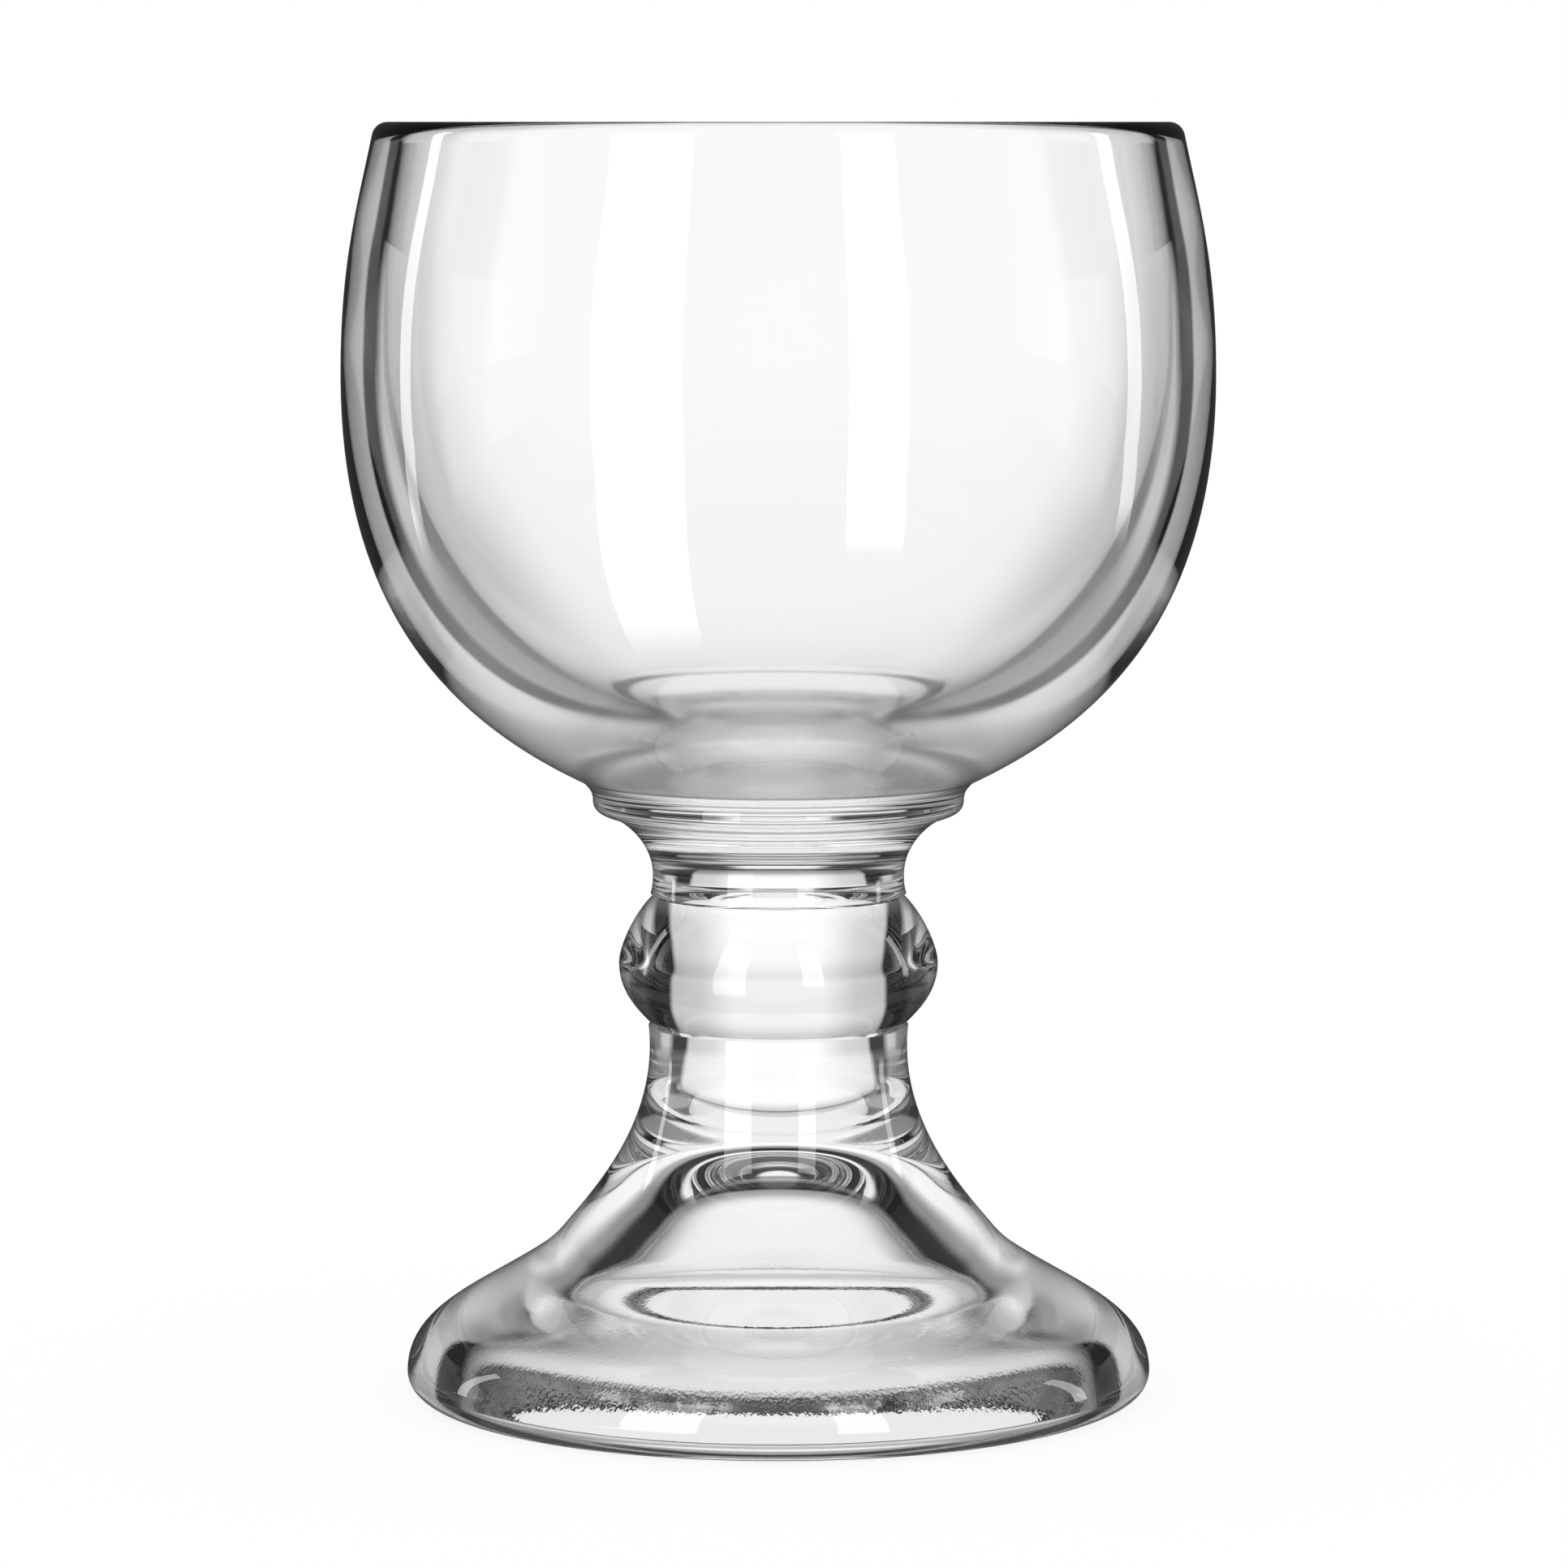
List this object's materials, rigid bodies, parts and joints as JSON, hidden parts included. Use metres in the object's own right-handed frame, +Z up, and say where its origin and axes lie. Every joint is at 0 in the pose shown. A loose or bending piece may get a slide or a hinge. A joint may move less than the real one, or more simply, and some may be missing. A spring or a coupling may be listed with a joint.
{
  "type": "schooner glass",
  "caption": "Heavy clear schooner glass with a round bowl, a ringed collar, a short knopped stem and a hollow bell foot, for serving beer or iced drinks.",
  "frame": {"origin": "middle of the ring that the glass stands on, at the level of the table", "axes": "+Z up along the axis of the bowl, stem and foot; X and Y are alike, because every member is a turned form"},
  "size_m": [0.1146, 0.1146, 0.168],
  "materials": {
    "glass": "clear colourless soda-lime glass, fire-polished all over, with a finely stippled ring under the foot"
  },
  "bodies": {
    "root": {"bowl": "glass", "collar": "glass", "neck": "glass", "knop": "glass", "foot": "glass"}
  },
  "joints": []
}
